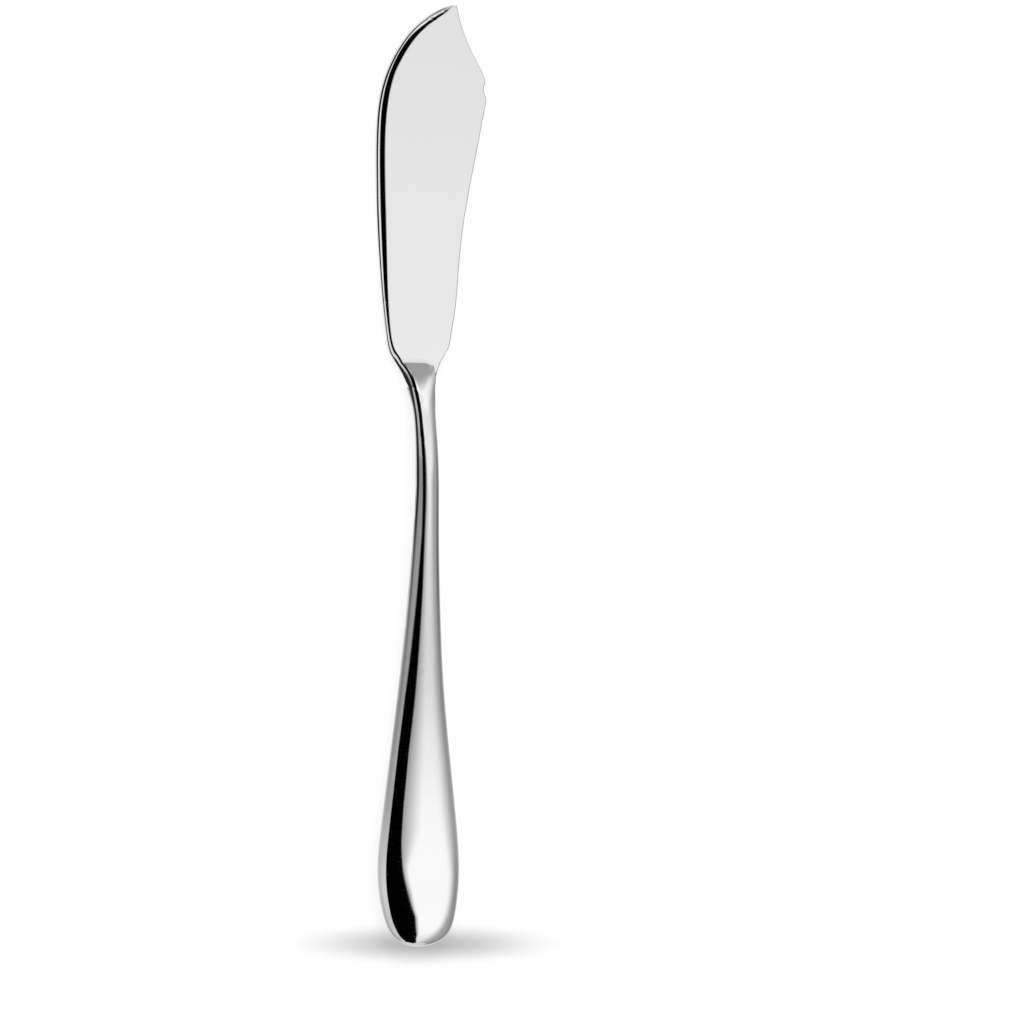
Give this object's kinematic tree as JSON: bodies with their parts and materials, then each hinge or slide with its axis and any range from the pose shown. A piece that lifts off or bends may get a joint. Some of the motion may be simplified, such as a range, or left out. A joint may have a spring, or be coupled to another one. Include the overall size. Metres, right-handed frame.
{
  "type": "fish knife",
  "caption": "Fish knife with a broad flat blade, a notch near its tip, a slender neck and a hollow teardrop handle.",
  "frame": {"origin": "centre of the knife's box, on the surface that it lies on", "axes": "+Y towards the blade's tip, +Z out of the front face, +X towards the notched back of the blade"},
  "size_m": [0.0246, 0.21, 0.008],
  "materials": {
    "polished_steel": "mirror-polished stainless steel",
    "braze": "silver braze, polished flush where it shows",
    "cement": "set cement, dull and fine-grained"
  },
  "bodies": {
    "root": {"blade": "polished_steel", "front_handle_shell": "polished_steel", "back_handle_shell": "polished_steel", "handle_seam": "braze", "tang_cement": "cement", "neck_braze": "braze"}
  },
  "joints": []
}
